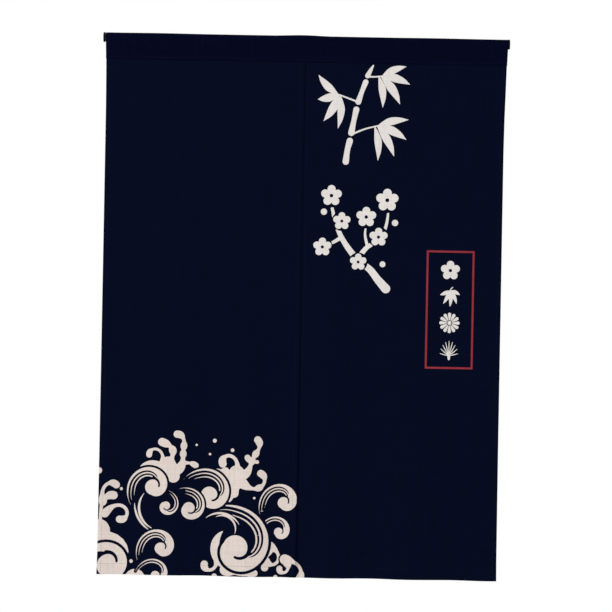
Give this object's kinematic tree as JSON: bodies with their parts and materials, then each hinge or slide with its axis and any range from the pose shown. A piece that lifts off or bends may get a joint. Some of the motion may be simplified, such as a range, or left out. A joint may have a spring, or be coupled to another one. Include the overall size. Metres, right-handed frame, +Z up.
{
  "type": "noren curtain on a rod",
  "caption": "Split door curtain of two flat navy cloth panels with a rod pocket heading, hanging on a round steel rod with plugged ends.",
  "frame": {"origin": "middle of the rod's axis", "axes": "+Z up, the front faces -Y, +X along the rod to the viewer's right"},
  "size_m": [0.9, 0.022, 1.2018],
  "materials": {
    "rod_steel": "satin dark paint",
    "end_plug_plastic": "moulded, matt",
    "heading_cloth": "plain woven navy cloth",
    "panel_cloth": "plain woven navy cloth, printed in cream and red"
  },
  "bodies": {
    "root": {"rod": "rod_steel", "end_plug_left": "end_plug_plastic", "end_plug_right": "end_plug_plastic", "heading": "heading_cloth", "left_panel": "panel_cloth", "right_panel": "panel_cloth"}
  },
  "joints": []
}
